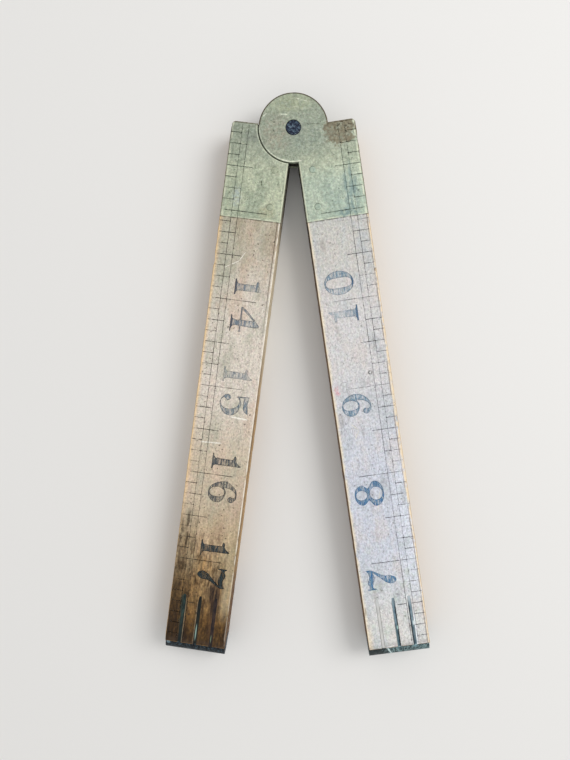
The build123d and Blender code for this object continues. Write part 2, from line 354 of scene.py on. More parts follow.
def inner_side(wood, level, ragged, streaks):
    """Side that faces the other leg, darkened by painted shade by the joint; on the right the dark brown
    all along is handling dirt with painted shade; a brown line runs under the left arris.
    """
    along = wood.along
    if wood.hand == "right":
        side = wood.mix(along.step(62, 18), (98, 70, 40), (38, 30, 24))
    else:
        side = wood.mix(along.step(56, 90), (204, 188, 158), (176, 140, 90))
        side = wood.mix(along.step(40, 18), side, (34, 27, 22))
        side = wood.mix(along.step(124, 138) * (0.65 + ragged * 0.35), side, (88, 54, 20))
        below_arris = wood.height.step(5.0, 6.0) * along.step(50, 76) * ragged.step(0.0, 0.6)
        side = wood.mix(below_arris * 0.6, side, (96, 70, 42))
    return wood.shade(side, level * streaks.step(0.3, 0.7, 0.72, 1.2))


def outer_side(wood, level, streaks):
    """Side that shows while the rule is closed: golden, streaked and darkened by the hand."""
    figure = wood.grain((0.25, 0.03, 0.45), 4, (3, 7, 1), 0.6)
    side = wood.mix(figure.step(0.36, 0.64), (200, 168, 122), (172, 134, 88))
    side = wood.mix(streaks.step(0.5, 0.66) * 0.5, side, (140, 104, 66))
    handled = wood.grain((0.3, 0.12, 0.6), 4, (1, 1, 6), 0.65).step(0.5, 0.68)
    return wood.shade(wood.mix(handled * 0.55, side, (112, 84, 56)), level)


# Tones of the pale arrises: partly the paler wood of worn edges, partly a painted highlight where light
# catches them.
worn_and_lit_arris_tones = {
    "right": ((242, 226, 196), (244, 221, 182)),
    "left": ((250, 244, 232), (234, 202, 154)),
}
planks = {"right": (13, 5, 2), "left": (29, 11, 6)}


def boxwood(hand, section):
    """Worn boxwood of one stave: grain, pores, hairline scratches, arrises paled by wear and a painted
    highlight, and handled sides, the inner one with painted shade.
    """
    plank = (0, 0, 0) if section == "inner" else planks[hand]
    wood = Finish(f"{hand}_{section}_boxwood", hand, plank)
    across, along, height = wood.across, wood.along, wood.height
    lay, grain = wood.lay, wood.grain
    scars = plain_faces(wood)
    if section == "inner":
        shown, back = height.step(6.4, 8.6), wood.colour
        scars = (pale_faces if hand == "right" else brown_faces)(wood) * shown
        wood.colour = wood.mix(shown, back, wood.colour)
    lines = grain((5.0, 0.14, 5.0), 5, roughness=0.6)
    fleck = grain((1.75, 1.4, 1.75), 4, (4, 4, 4), 0.66)
    pores = grain((3.5, 1.4, 3.5), 2, (9, 5, 7)).step(0.62, 0.72)
    nicks = grain((1.3, 1.1, 1.3), 3, (2, 8, 5)).step(0.67, 0.71)
    scrapes = grain((0.5, 2.6, 0.5), 2, (6, 6, 1)).step(0.71, 0.76)
    pale_face, brown_face = ((hand, section) == (side, "inner") for side in ("right", "left"))
    if brown_face:
        scrapes = scrapes * along.step(122, 100)
    level = lines.step(0.2, 0.8, 0.9, 1.08) * fleck.step(0.3, 0.7, 0.8, 1.18)
    wood.colour = wood.shade(wood.colour, level)
    wood.tint(0.16, (1.2, 0.9, 1.2), (8, 1, 3))
    spotted = 0.4 if pale_face else 0.7
    lay(pores * spotted * 0.6, (95, 78, 66))
    lay(nicks * spotted, (60, 48, 42))
    lay((scars + scrapes * 0.4).smaller(1.0), (242, 236, 222))
    width = leg_width / mm
    ragged = grain((0.8, 0.4, 0.8), 3, (3, 3, 9)).step(0.3, 0.55)
    # The arrises are paler partly by wear and partly by a painted highlight along the rounded edge.
    inner_worn_lit_arris = across.step(0.62, 0.3)
    if pale_face:
        outer_worn_lit_arris = (across + along.near(90, 45) * 0.35).step(width - 0.6, width - 0.3)
    else:
        outer_worn_lit_arris = across.step(width - 0.65, width - 0.3)
    if brown_face:
        inner_worn_lit_arris = inner_worn_lit_arris * along.step(138, 114, 0.3, 1.0)
        outer_worn_lit_arris = outer_worn_lit_arris * along.step(122, 96)
    arris = inner_worn_lit_arris.larger(outer_worn_lit_arris) * ragged
    lay(arris * 0.8, wood.mix(across.step(8, 10), *worn_and_lit_arris_tones[hand]))
    streaks = grain((1.6, 0.07, 1.9), 4, (6, 2, 2), 0.62)
    # The inner side face, darkened in part by painted shade.
    lay(across.step(0.26, 0.14), inner_side(wood, level, ragged, streaks))
    lay(across.step(width - 0.2, width - 0.1), outer_side(wood, level, streaks))
    low, high = (value / mm for value in section_faces[section])
    layer = height.near(low, 0.35).larger(height.near(high, 0.35))
    turned = across.step(0.2, 0.1).larger(across.step(width - 0.15, width - 0.05))
    lay(layer * turned * ragged * along.step(140, 118, 0.1, 0.45), (226, 200, 160))
    end = along.step(149.8, 151.8) * grain((0.5, 0.8, 0.5), 3).step(0.35, 0.6)
    lay(end * (0.35 if hand == "right" else 0.75), (74, 60, 48))
    rings = grain((0.5, 1.0, 2.6), 4, (2, 9, 9), 0.6).step(0.35, 0.65)
    cut_ends = along.step(151.66, 151.76).larger(along.step(0.24, 0.16) * across.step(9.6, 10.2))
    lay(cut_ends * 0.9, wood.mix(rings, (150, 118, 80), (104, 78, 52)))
    if section == "inner":
        lay(along.near(plate_length / mm + 0.05, 0.4) * ragged * 0.8, (62, 52, 42))
    relief = lines * 0.5 + fleck * 0.35 - pores - nicks * 2 - scars * 2.5 - scrapes
    return wood.surface(0.62 + fleck * 0.14 - arris * 0.12, relief, 0.035, gleam=0.25)


def cut(shape, place, normal):
    """Cut every face of a shape along a plane; nothing is taken away."""
    everything = shape.verts[:] + shape.edges[:] + shape.faces[:]
    bmesh.ops.bisect_plane(shape, geom=everything, plane_co=place, plane_no=normal, dist=0.001 * mm)


def worn_copy(node, hand, faces):
    """Copy of a node with the long edges of its leg rounded unevenly, with a nick here and there."""
    mesh = frame["nodes"][node].data.copy()
    reach = 1.3 * mm
    leg = leg_matrix(hand)
    inward = leg.inverted()
    crossing = leg.to_3x3() @ Vector((hands[hand], 0, 0))
    climbing = leg.to_3x3() @ Vector((0, 1, 0))
    shape = bmesh.new()
    shape.from_mesh(mesh)
    bmesh.ops.remove_doubles(shape, verts=shape.verts, dist=0.002 * mm)
    for along in range(2, 152, 2):
        cut(shape, leg_point(hand, 0, along * mm, 0), climbing)
    for inset in (0.6 * mm, reach):
        cut(shape, leg_point(hand, inset, 0, 0), crossing)
        cut(shape, leg_point(hand, leg_width - inset, 0, 0), crossing)
    for vert in shape.verts:
        local = inward @ vert.co
        across, along = hands[hand] * local.x, -local.y
        side = -1 if across < leg_width / 2 else 1
        inset = across if side < 0 else leg_width - across
        if side < 0 and along < joint_reach:
            continue
        for level, up in zip(faces, (-1, 1)):
            near = 1 - (inset + abs(vert.co.z - level)) / reach
            if near <= 0:
                continue
            seat = Vector((inset / mm * 0.5, along / mm * 0.35, level / mm + 7 * side * hands[hand]))
            nick = max(0.0, noise.noise(seat * 3.1) - 0.4) * 0.6
            worn = max(0.0, 0.03 + 0.09 * noise.noise(seat) + nick) * near * mm
            vert.co -= side * crossing * worn
            vert.co.z -= up * worn
    for face in shape.faces:
        face.smooth = True
    for edge in shape.edges:
        edge.smooth = edge.is_manifold and edge.calc_face_angle(pi) < radians(28)
    shape.to_mesh(mesh)
    shape.free()
    return mesh


def placed(name, data):
    """New object in the scene, from a mesh, a lamp or a camera."""
    thing = bpy.data.objects.new(name, data)
    bpy.context.scene.collection.objects.link(thing)
    return thing


def add_piece(name, mesh, body, slot, material, *replaced):
    """Put a finished mesh in the scene as a piece of the rule."""
    piece = placed(name, mesh)
    mesh.materials.clear()
    mesh.materials.append(material)
    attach(piece, body)
    if replaced:
        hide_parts(*replaced)
    return piece


staves = {}
for hand in hands:
    for section, faces in section_faces.items():
        node = f"{hand}_{section}_stave"
        mesh = worn_copy(node, hand, faces)
        wood = boxwood(hand, section)
        staves[hand, section] = add_piece(f"{node}_worn", mesh, f"{hand}_{section}", "boxwood", wood, node)


# Graduations
# Eighths of an inch, cut with a graver along the outer edge of each section, on wood and brass
# alike, between two gauge lines. The cuts were filled with black, which has worn away in places.

inch = 25.4 * mm
pitch = inch / 8
line_width = 0.2 * mm
ink_thickness = 0.012 * mm
line_lengths = {"Eighth": 3.3 * mm, "Quarter": 5.1 * mm, "Half": 7.6 * mm, "Inch": 13.5 * mm}
gauge_lines = {"First gauge": 3.2 * mm, "Second gauge": 5.05 * mm}
ticks_of_section = 47
first_tick = {"inner": 1, "outer": 49}


def face_matrix(hand, section):
    """Place of a numbered face: the outer ones are turned over about their knuckle."""
    if section == "inner":
        return leg_matrix(hand)
    knuckle = joints[f"{hand}_knuckle"]
    hinge = Vector(knuckle["pos_m"])
    turn = Matrix.Rotation(pi, 4, Vector(knuckle["axis"]))
    return Matrix.Translation(hinge) @ turn @ Matrix.Translation(-hinge) @ leg_matrix(hand)


class FormTree(NodeTree):
    """A Geometry Nodes tree: a mesh and named values go in, and a mesh comes out."""

    def __init__(self, name, kinds):
        super().__init__(bpy.data.node_groups.new(name, "GeometryNodeTree"))
        new_socket = self.tree.interface.new_socket
        new_socket("Geometry", in_out="OUTPUT", socket_type="NodeSocketGeometry")
        for kind, labels in {"Geometry": ("Geometry",), "Material": ("Material",), **kinds}.items():
            for label in labels:
                new_socket(label, in_out="INPUT", socket_type=f"NodeSocket{kind}")

    def given(self, label):
        """One of the named inputs."""
        return self.node("NodeGroupInput", output=label)

    def vector(self, x, y, z):
        """A vector of three numbers."""
        return self.node("ShaderNodeCombineXYZ", None, {0: x, 1: y, 2: z})

    def position(self):
        """The three coordinates of each point."""
        return [self.part(self.node("GeometryNodeInputPosition"), axis) for axis in range(3)]

    def end(self, form):
        """Let a form out as one mesh, in the given material."""
        form = self.node("GeometryNodeRealizeInstances", None, {0: form})
        sockets = {"Geometry": form, "Material": self.given("Material")}
        self.node("NodeGroupOutput", None, {0: self.node("GeometryNodeSetMaterial", None, sockets)})

    def run(self, mesh, values):
        """Put a mesh through the tree and return what comes out as a plain mesh."""
        bench = placed("bench", mesh)
        modifier = bench.modifiers.new("tree", "NODES")
        modifier.node_group = self.tree
        for item in self.tree.interface.items_tree:
            if item.name in values:
                modifier[item.identifier] = values[item.name]
        evaluated = bench.evaluated_get(bpy.context.evaluated_depsgraph_get())
        made = bpy.data.meshes.new_from_object(evaluated)
        bpy.data.objects.remove(bench)
        return made


def graduation_tree():
    """Ticks and gauge lines that lie on whatever surface comes in."""
    floats = ("Pitch", "Edge", "Hand", "Width", "Thickness", "Ragged", "Margin", "Top")
    kinds = {"Float": (*floats, *line_lengths, *gauge_lines), "Int": ("Ticks", "First", "Seed")}
    tree = FormTree("graduations", kinds)
    node, given, vector = tree.node, tree.given, tree.vector
    index = node("GeometryNodeInputIndex")
    number = index + given("First")
    length = given("Eighth")
    for count, shorter, longer in ((2, "Eighth", "Quarter"), (4, "Quarter", "Half"), (8, "Half", "Inch")):
        length = length + (number % count).equals(0, 0.1) * (given(longer) - given(shorter))
    spread = given("Ragged")
    sockets = {2: -spread, 3: spread, "ID": index, "Seed": given("Seed")}
    length = length + node("FunctionNodeRandomValue", {"data_type": "FLOAT"}, sockets, 1)
    start = vector(given("Hand") * given("Edge"), -given("Pitch") * given("First"), 0)
    sockets = {"Count": given("Ticks"), "Start Location": start, "Offset": vector(0, -given("Pitch"), 0)}
    points = node("GeometryNodeMeshLine", {"mode": "OFFSET"}, sockets)
    sockets = {"Size": (1, 1, 1), "Vertices X": 16, "Vertices Y": 2, "Vertices Z": 2}
    strip = node("GeometryNodeMeshCube", None, sockets)
    outer_end = vector(given("Hand") * -0.5, 0, 0)
    strip = node("GeometryNodeTransform", None, {0: strip, "Translation": outer_end})
    size = vector(length, given("Width"), given("Thickness"))
    sockets = {"Points": points, "Instance": strip, "Scale": size}
    parts = [node("GeometryNodeInstanceOnPoints", None, sockets)]
    run = given("Pitch") * (given("Ticks") + 1)
    middle = given("Pitch") * (given("First") - 1) + run / 2
    for gauge in gauge_lines:
        size = vector(given("Width") * 0.8, run - given("Margin") * 2, given("Thickness"))
        sockets = {"Size": size, "Vertices X": 2, "Vertices Y": 160, "Vertices Z": 2}
        bar = node("GeometryNodeMeshCube", None, sockets)
        place = vector(given("Hand") * (given("Edge") - given(gauge)), -middle, 0)
        parts.append(node("GeometryNodeTransform", None, {0: bar, "Translation": place}))
    join = tree.tree.nodes.new("GeometryNodeJoinGeometry")
    for part in parts:
        tree.tree.links.new(part.socket, join.inputs[0])
    lines = node("GeometryNodeRealizeInstances", None, {0: Signal(tree, join.outputs[0])})
    x, y, z = tree.position()
    above = vector(x, y, given("Top") + 1 * mm)
    sockets = {"Target Geometry": given("Geometry"), "Source Position": above}
    sockets.update({"Ray Direction": (0, 0, -1), "Ray Length": 3 * mm})
    hit = node("GeometryNodeRaycast", None, sockets, "Hit Position")
    found = Signal(tree, hit.socket.node.outputs["Is Hit"])
    missed = given("Top") - given("Thickness") * 4
    height = tree.part(hit, 2) * found + missed * (1 - found)
    seat = vector(x, y, height + z + given("Thickness") * 0.5)
    tree.end(node("GeometryNodeSetPosition", None, {"Geometry": lines, "Position": seat}))
    return tree


def joined(meshes, place):
    """Copy of several meshes as one, seen in the frame of a face."""
    shape = bmesh.new()
    for mesh in meshes:
        shape.from_mesh(mesh)
    bmesh.ops.transform(shape, matrix=place.inverted(), verts=shape.verts)
    mesh = bpy.data.meshes.new("joined")
    shape.to_mesh(mesh)
    shape.free()
    return mesh


def film(cover):
    """Alpha of each side of a thin film of ink, of which the two together hide so much."""
    return 1 - (1 - cover.smaller(0.99)) ** 0.5


def line_ink(hand, section):
    """Black in the graver's cuts: each cut as deep as the hand that made it, broken by wear."""
    ink = Finish(f"{hand}_{section}_line_ink", hand)
    across, along = ink.across, ink.along
    worn = ink.grain(1.1, 4, (3, 1, 5), 0.6).step(0.34, 0.56, 0.2, 1.0)
    worn = worn * ink.grain((0.04, 0.33, 0.04), 1, (8, 2, 2)).step(0.38, 0.62, 0.45, 1.0)
    edge_gauge, far_gauge = (across.near((leg_width - line) / mm, 0.3) for line in gauge_lines.values())
    gauges = edge_gauge.larger(far_gauge)
    worn = worn + gauges * (0.62 - worn) * 0.7
    worn = worn * (1 - edge_gauge * (0.3 if hand == "right" else 0.1))
    half_pitch = pitch / 2 / mm
    crossed = abs((along + half_pitch) % (half_pitch * 2) - half_pitch).step(0.3, 0.12) * gauges
    worn = worn + crossed * (1 - worn) * ink.grain(0.7, 2, (5, 5, 2)).step(0.4, 0.6)
    strength, ink.colour = 0.92, (58, 52, 50)
    if (hand, section) == ("left", "inner"):
        foot = along + ink.grain((0.3, 0.2, 0.3), 3) * 30 - 15
        worn = worn * foot.step(108, 132, 1.0, 0.8)
        ink.lay(foot.step(112, 132), (30, 26, 22))
    if (hand, section) == ("right", "inner"):
        strength, ink.colour = 0.76, (80, 78, 90)
    if section == "inner":
        ink.lay(along.step(plate_length / mm + 0.05, plate_length / mm - 0.05), (56, 66, 56))
    return ink.surface(0.8, alpha=film(worn * strength))


lines_of_rule = graduation_tree()
for hand, sign in hands.items():
    for section in section_faces:
        place = face_matrix(hand, section)
        brass = frame["nodes"][f"{hand}_front_plate" if section == "inner" else f"{hand}_tip"]
        values = {
            "Pitch": pitch, "Edge": leg_width - 0.08 * mm, "Hand": float(sign), "Width": line_width,
            "Thickness": ink_thickness, "Ragged": 0.12 * mm, "Margin": 0.8 * mm, "Top": face_height,
            **line_lengths, **gauge_lines, "Ticks": ticks_of_section, "First": first_tick[section],
            "Seed": 3 + sign, "Material": line_ink(hand, section),
        }
        made = lines_of_rule.run(joined([staves[hand, section].data, brass.data], place), values)
        made.transform(place)
        name = f"{hand}_{section}_graduations"
        add_piece(name, made, f"{hand}_{section}", "boxwood", values["Material"])


# Figures
# Inch figures struck one by one with punches, fat upright shapes with hair serifs. The blue-black
# ink has soaked into the grain, so the thick strokes show the lines of the wood.

figure_height = 8.4 * mm
figure_foot = 10.7 * mm
figure_gap = 1.65 * mm
figure_lift = 0.016 * mm
rim_step = 0.22 * mm
figure_outlines = {
    "0": (82, [(0, 50), (41, 100), (82, 50), (41, 0)], [(24, 50), (41, 94), (58, 50), (41, 6)]),
    "1": (54, [
        (0, 0, 1), (54, 0, 1), (54, 4.5, 1), (44, 6), (39, 12, 1), (39, 98, 1), (36, 101), (32, 95),
        (21, 84), (7, 82), (2, 78), (7, 74), (15.5, 72, 1), (15.5, 12, 1), (10, 6), (0, 4.5, 1)]),
    "2": (75, [
        (2, 0, 1), (8, 17), (28, 38), (48, 56), (53, 76), (38, 94), (24, 89), (30, 76), (16, 62), (1, 74),
        (10, 93), (37, 100), (72, 75), (58, 50), (24, 20, 1), (38, 21), (54, 15), (66, 18), (70, 30, 1),
        (75, 30, 1), (70, 3), (56, -1), (36, 5), (16, 8), (7, 0, 1)]),
    "3": (72, [
        (1, 78), (11, 94), (35, 100), (66, 76), (48, 54, 1), (72, 28), (35, 0), (9, 8), (0, 24), (12, 36),
        (25, 26), (22, 11), (34, 5), (49, 28), (34, 50), (24, 51, 1), (24, 55, 1), (34, 56), (46, 76),
        (34, 95), (22, 89), (26, 77), (14, 66)]),
    "4": (87, [
        (0, 34), (57, 97), (62, 100), (66, 96), (66, 37, 1), (78, 37), (86, 39, 1), (86, 30, 1),
        (78, 32), (66, 32, 1), (66, 12), (74, 5), (87, 3.5, 1), (87, 0, 1), (30, 0, 1), (30, 3.5, 1),
        (40, 5), (45, 12), (45, 32, 1), (4, 32, 1)], [(9, 37, 1), (45, 37, 1), (45, 79, 1)]),
    "5": (73, [
        (4, 100, 1), (32, 97), (66, 101, 1), (54, 86), (30, 81), (9, 84, 1), (9, 68, 1), (34, 74),
        (73, 38), (36, 0), (7, 11), (0, 25), (10, 37), (21, 27), (13, 12), (36, 5), (50, 36), (28, 67),
        (5, 60, 1)]),
    "6": (75, [
        (0, 45), (15, 86), (46, 100), (66, 91), (71, 79), (61, 70), (51, 78), (54, 88), (45, 95),
        (28, 82), (21, 54, 1), (42, 61), (75, 31), (39, 0)], [(21, 31), (40, 56), (54, 31), (40, 5)]),
    "7": (71, [
        (0, 70, 1), (0, 100, 1), (4, 100, 1), (8, 94), (24, 98), (46, 91), (62, 95), (68, 101, 1),
        (69, 86), (56, 60), (45, 38), (43, 16), (29, 0), (16, 12), (20, 32), (40, 55), (60, 78, 1),
        (42, 74), (20, 80), (8, 82), (4, 70, 1)]),
    "8": (86, [
        (41, 100), (74, 78), (62, 53, 1), (86, 27), (43, 0), (0, 27), (21, 53, 1), (6, 77)],
        [(24, 77), (40, 95), (57, 77), (41, 58)], [(21, 27), (43, 48), (65, 27), (43, 5)]),
}
width, *loops = figure_outlines["6"]
turned = [[(width - x, 100 - y, *corner) for x, y, *corner in loop] for loop in loops]
figure_outlines["9"] = (width, *turned)
figures_of_section = {
    ("right", "inner"): (10, 9, 8, 7), ("left", "inner"): (14, 15, 16, 17),
    ("right", "outer"): (5, 4, 3, 2, 1), ("left", "outer"): (19, 20, 21, 22, 23),
}


def strike(curve, figure, start, along, hand, lean_of_blow):
    """Add the outline of one figure, from where it starts on the line that it is read along."""
    width, *loops = figure_outlines[figure]
    unit = figure_height / 100
    for loop in loops:
        spline = curve.splines.new("BEZIER")
        spline.use_cyclic_u = True
        spline.bezier_points.add(len(loop) - 1)
        for point, (x, y, *corner) in zip(spline.bezier_points, loop):
            read = start + (x + lean_of_blow * (y - 50)) * unit
            rise = (y - lean_of_blow * (x - width / 2)) * unit
            point.co = (hands[hand] * (figure_foot - rise), hands[hand] * read - along, 0)
            point.handle_left_type = point.handle_right_type = "VECTOR" if corner else "AUTO"


def struck_figures(number, hand):
    """One inch number as a flat mesh, each figure leaning by chance on its own side of the line."""
    curve = bpy.data.curves.new("figure", "CURVE")
    curve.dimensions = "2D"
    curve.fill_mode = "BOTH"
    curve.resolution_u = 8
    along = abs(12 - number) * inch
    text = str(number)
    blow = 0.035 * noise.noise(Vector((number * 3.7, 1.3, 0)))
    first_width = figure_outlines[text[0]][0] * figure_height / 100
    strike(curve, text[0], -figure_gap - first_width, along, hand, blow)
    if len(text) > 1:
        strike(curve, text[1], figure_gap, along, hand, -blow)
    stamp = bpy.data.objects.new("stamp", curve)
    mesh = bpy.data.meshes.new_from_object(stamp)
    bpy.data.objects.remove(stamp)
    return mesh


def with_rim(mesh):
    """Give a flat figure points inside its strokes, each with its distance to the outline in mm."""
    shape = bmesh.new()
    shape.from_mesh(mesh)
    bmesh.ops.remove_doubles(shape, verts=shape.verts, dist=0.001 * mm)
    outline = []
    for edge in shape.edges:
        if len(edge.link_faces) == 1:
            start, end = (vert.co.copy() for vert in edge.verts)
            parts = max(1, round((end - start).length / (rim_step / 4)))
            outline += [start.lerp(end, part / parts) for part in range(parts)]
    tree = kdtree.KDTree(len(outline))
    for number, place in enumerate(outline):
        tree.insert(place, number)
    tree.balance()
    for axis, normal in enumerate((Vector((1, 0, 0)), Vector((0, 1, 0)))):
        low = min(vert.co[axis] for vert in shape.verts)
        high = max(vert.co[axis] for vert in shape.verts)
        for count in range(1, int((high - low) / rim_step) + 1):
            cut(shape, normal * (low + count * rim_step), normal)
    rim = shape.verts.layers.float.new("rim")
    for vert in shape.verts:
        vert[rim] = tree.find(vert.co)[2] / mm
    thick = bmesh.ops.extrude_face_region(shape, geom=shape.faces[:])
    for item in thick["geom"]:
        if isinstance(item, bmesh.types.BMVert):
            item.co.z += ink_thickness
    bmesh.ops.recalc_face_normals(shape, faces=shape.faces)
    shape.to_mesh(mesh)
    shape.free()
    return mesh


def figure_ink(hand, section):
    """Stamping ink: it stayed along the rims of the strokes and wore thin inside them."""
    ink = Finish(f"{hand}_{section}_figure_ink", hand)
    across, along = ink.across, ink.along
    rim = ink.node("ShaderNodeAttribute", {"attribute_name": "rim"}, output="Fac")
    blotch = ink.grain((1.1, 1.1, 1), 4, (2, 2, 0), 0.65)
    stripes = ink.grain((2.1, 0.34, 1), 3, (5, 5, 0), 0.6)
    fibres = ink.grain((2.3, 0.7, 1), 3, (7, 3, 0), 0.6)
    rubbed = ink.grain((0.22, 0.13, 1), 2, (1, 7, 0)).step(0.34, 0.6, 0.6, 1.0)
    middle = (rim + blotch * 0.6 - 0.3).step(0.02, 0.3)
    body = stripes.step(0.42, 0.6, 0.14, 0.66).larger(fibres.step(0.58, 0.68) * 0.75)
    rims = blotch.step(0.34, 0.58, 0.3, 0.8)
    cover = (rims + middle * (body - rims)) * rubbed
    if hand == "right":
        dark, pale = (66, 102, 130), (112, 150, 174)
    else:
        lower = along.step(80, 96)
        dark = ink.mix(lower, (60, 76, 92), (44, 50, 58))
        pale = ink.mix(lower, (104, 130, 150), (80, 88, 94))
    ink.colour = ink.mix(middle, dark, pale)
    if section == "inner":
        serif = across.step(9.9, 10.3) * along.step(66, 60)
        ink.lay(serif * 0.7, (58, 54, 70) if hand == "left" else (58, 96, 134))
        cover = cover + serif * (0.85 - cover) * 0.8
    if (hand, section) == ("right", "inner"):
        cover = cover * (1 - ink.spot(5.0, 55.0, 4.2, 3.6) * 0.5)
        fresh = along.step(82, 112)
        cover = cover + fresh * (0.9 - cover) * stripes.step(0.36, 0.58, 0.12, 0.92)
        ink.lay(fresh * fibres.step(0.42, 0.58) * 0.7, (66, 128, 180))
        ink.lay(fresh * blotch.step(0.5, 0.6) * 0.5, (38, 96, 158))
    if (hand, section) == ("left", "inner"):
        cover = cover * (1 - ink.spot(2.6, 47.2, 1.6, 1.8) * 0.75)
        cover = cover + along.step(82, 94) * stripes.step(0.42, 0.58, 0.1, 0.62) * (0.9 - cover)
        foot = along.step(106, 130)
        cover = cover + foot * (1 - cover) * (0.36 + stripes.step(0.4, 0.6) * 0.36 + (1 - middle) * 0.28)
        ink.lay(foot, ink.mix(middle, (12, 19, 23), (34, 50, 54)))
    return ink.surface(0.7, alpha=film(cover))


for (hand, section), numbers in figures_of_section.items():
    made = joined([with_rim(struck_figures(number, hand)) for number in numbers], Matrix())
    made.transform(face_matrix(hand, section) @ Matrix.Translation((0, 0, face_height + figure_lift)))
    name = f"{hand}_{section}_figures"
    add_piece(name, made, f"{hand}_{section}", "boxwood", figure_ink(hand, section))


# Square joint
# Sheet brass let in flush on both faces of each leg. The right pair ends in discs that turn in
# hollows of the left pair, round a tongue between them; the sheets were filed level with the wood.

disc_radius = 9.95


def tarnished_brass(name, hand, marks=None):
    """Old sheet brass: olive tarnish, speckled and curled, with fine scratches and rubbed edges; a painted
    highlight runs inside the outer edge, with a dark line of grime and painted shade at its rim.
    """
    brass = Finish(name, hand)
    across, along = brass.across, brass.along
    lay, grain = brass.lay, brass.grain
    cloud = grain((0.16, 0.12, 0.12), 4, roughness=0.6)
    brass.colour = brass.mix(cloud.step(0.36, 0.64), (166, 176, 154), (196, 202, 176))
    lay(along.step(17, 3) * 0.85, (154, 162, 146))
    curls = brass.curls(0.75, 0.045, (3, 3, 3))
    lay(curls * 0.35, (112, 122, 104))
    lay(brass.curls(0.9, 0.03, (7, 1, 5)) * 0.3, (216, 220, 202))
    speckle = grain(1.35, 4, (1, 4, 1), 0.68)
    brushed = grain((4.5, 0.25, 3.0), 4, (6, 1, 3), 0.6)
    crossing = grain((0.3, 3.5, 3.0), 3, (2, 7, 5), 0.6)
    pits = grain(1.5, 3, (8, 8, 2)).step(0.66, 0.72)
    dull = marks(brass).larger(pits) if marks else pits
    level = speckle.step(0.3, 0.7, 0.76, 1.22) * brushed.step(0.25, 0.75, 0.92, 1.08)
    brass.colour = brass.shade(brass.colour, level * crossing.step(0.25, 0.75, 0.96, 1.04))
    brass.tint(0.14, (1.3, 1.3, 1.3), (5, 9, 2))
    lay(pits * 0.7, (72, 78, 64))
    scuffs = grain((0.4, 2.2, 0.4), 2, (3, 6, 9)).step(0.69, 0.73)
    width, shoulder = leg_width / mm, across.step(9.6, 10.2)
    ragged = grain((0.8, 0.5, 0.8), 3, (1, 2, 2)).step(0.32, 0.58)
    rubbed_end = along.near(plate_length / mm - 0.25, 0.3) * ragged * 0.9
    rubbed_inside = across.near(0.25, 0.35) * along.step(10.0, 11.5)
    # Along the outer edge the pale line is partly rubbed brass and partly a painted highlight just inside
    # the rounded edge.
    rubbed = (across.near(width - 0.6, 0.4) * ragged).larger(rubbed_end, rubbed_inside)
    lay((scuffs * 0.6).larger(rubbed * 0.75), (222, 224, 198))
    # Dark line of grime and painted shade along the rim of the sheet and the top of the shoulder.
    grime_and_edge_shade = across.step(width - 0.36, width - 0.16).larger(along.step(0.6, 0.28) * shoulder)
    lay(grime_and_edge_shade * (0.45 + ragged * 0.45), (84, 70, 46))
    cut_edge = across.step(width - 0.1, width - 0.02).larger(along.step(0.1, 0.02) * shoulder)
    lay(cut_edge * 0.65, (158, 136, 90))
    relief = speckle * 0.6 + brushed * 0.4 + crossing * 0.3 + curls * 0.4 - pits * 1.5 - scuffs
    metallic = 0.8 - dull.larger(grime_and_edge_shade * 0.8) * 0.65
    return brass.surface(0.46 + speckle * 0.12 + dull * 0.25, relief, metallic=metallic)


